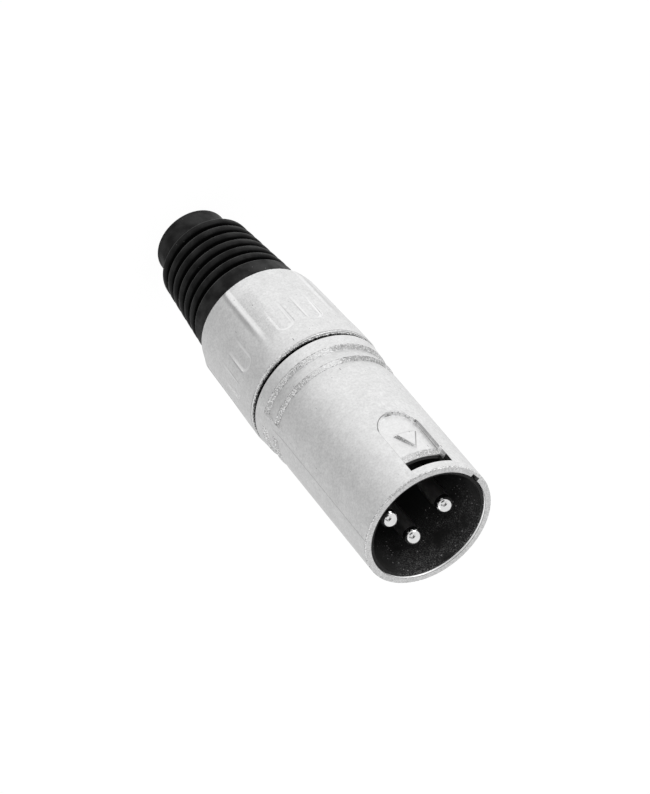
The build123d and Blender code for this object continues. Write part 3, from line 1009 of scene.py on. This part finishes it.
class PLUG_OT_contacts(bpy.types.Operator):
    """Plates the three contacts and the ground lug."""

    bl_idname = "plug.contacts"
    bl_label = "Contacts"

    def execute(self, context):
        settings = context.scene.plug_contacts
        metal = plated("bright_contact_plate", settings.colour, settings.roughness)
        take_finish(["pin_1", "pin_2", "pin_3", "ground_lug"], metal)
        return {"FINISHED"}


class PLUG_OT_boot(bpy.types.Operator):
    """Makes the soft ribbed boot over its plain solid."""

    bl_idname = "plug.boot"
    bl_label = "Boot"

    NECK = (
        (7.75, 20.38, 0.02), (7.75, 21.78, 0.05), (8.4, 21.78, 0.05), (8.4, 23.08, 0.15),
        (6.2, 23.08, 0.25), (6.2, 18.48, 0.5),
    )

    def outline(self):
        """The boot's section, from the tail over the ribs and the neck and back by the bore."""
        corners = [
            (CABLE_RADIUS, 0.0, 0.3),
            (TAIL_RADIUS, 0.0, 0.15),
            (TAIL_RADIUS, TAIL_LENGTH, 0.25),
        ]
        for rib in range(RIB_COUNT):
            start = TAIL_LENGTH + RIB_PITCH * rib
            edge = start + RIB_LENGTH
            rear = COLLAR_RADIUS - BOOT_DROP * (COLLAR_START - start) / RIBBED_LENGTH
            front = COLLAR_RADIUS - BOOT_DROP * (COLLAR_START - edge) / RIBBED_LENGTH
            corners += [(rear, start, 0.26), (front, edge, 0.45)]
            corners += [(front - GROOVE_DEPTH, edge, 0.3)]
            corners += [(front - GROOVE_DEPTH, start + RIB_PITCH, 0.3)]
        corners += [(COLLAR_RADIUS, COLLAR_START, 0.26), (COLLAR_RADIUS, 20.38, 0.12)]
        corners += [*self.NECK, (CABLE_RADIUS, TAIL_LENGTH, 1.0)]
        return divide(round_corners(corners, 7), 0.4)

    def execute(self, context):
        settings = context.scene.plug_rubber
        outline = self.outline()
        grid = spin(outline, settings.sectors)
        angle, height = around(settings.sectors), outline[:, 1:]
        slack = np.clip((20.0 - height) / 4.0, 0, 1)
        waver = np.sin(2 * angle + 0.5 * height) + 0.6 * np.sin(3 * angle - 0.9 * height + 1.0)
        inwards = settings.waver / 8.0 * slack * (1 + waver / 1.6) / 2
        grid[:, :, :2] *= (1 - inwards)[:, :, None]
        piece = ring_mesh("ribbed_boot", grid, rubber("matte_rubber", settings))
        dressed(piece, "boot", "rubber", "boot")
        return {"FINISHED"}


class PLUG_OT_threads(bpy.types.Operator):
    """Cuts the screw thread that joins the bushing to the shell's spigot."""

    bl_idname = "plug.threads"
    bl_label = "Threads"

    SPIGOT = {"root": 8.37, "back": 8.2, "depth": 0.48, "low": 28.0, "high": 36.9, "phase": 0.0}
    NUT = {"root": 8.88, "back": 9.05, "depth": -0.43, "low": 28.0, "high": 36.6, "phase": 0.5}

    def execute(self, context):
        settings = context.scene.plug_thread
        metal = context.scene.plug_nickel
        outer = thread_sleeve(settings, **self.SPIGOT)
        piece = ring_mesh("spigot_thread", outer, nickel("satin_nickel_spigot_thread", metal))
        dressed(piece, "housing", "nickel")
        inner = thread_sleeve(settings, **self.NUT)
        piece = ring_mesh("bushing_thread", inner, nickel("satin_nickel_bushing_thread", metal))
        dressed(piece, "bushing", "nickel")
        return {"FINISHED"}


class PLUG_PT_parts(bpy.types.Panel):
    """Lists the plug's pieces and their sizes and colours."""

    bl_label = "Plug"
    bl_idname = "PLUG_PT_parts"
    bl_space_type = "VIEW_3D"
    bl_region_type = "UI"
    bl_category = "Plug"

    def draw(self, context):
        for operator in OPERATORS:
            self.layout.operator(operator.bl_idname)
        for group in GROUPS:
            box = self.layout.box()
            settings = getattr(context.scene, group)
            for name in settings.bl_rna.properties.keys():
                if name not in ("rna_type", "name"):
                    box.prop(settings, name)


OPERATORS = (
    PLUG_OT_stage,
    PLUG_OT_shell,
    PLUG_OT_bushing,
    PLUG_OT_front_edge,
    PLUG_OT_insert,
    PLUG_OT_contacts,
    PLUG_OT_boot,
    PLUG_OT_threads,
)


def register():
    for kind in (*GROUPS.values(), *OPERATORS, PLUG_PT_parts):
        bpy.utils.register_class(kind)
    for name, group in GROUPS.items():
        setattr(bpy.types.Scene, name, PointerProperty(type=group))


def unregister():
    for name in GROUPS:
        delattr(bpy.types.Scene, name)
    for kind in reversed((*GROUPS.values(), *OPERATORS, PLUG_PT_parts)):
        bpy.utils.unregister_class(kind)


def main():
    register()
    for operator in OPERATORS:
        group, name = operator.bl_idname.split(".")
        getattr(getattr(bpy.ops, group), name)()


if __name__ == "__main__":
    main()
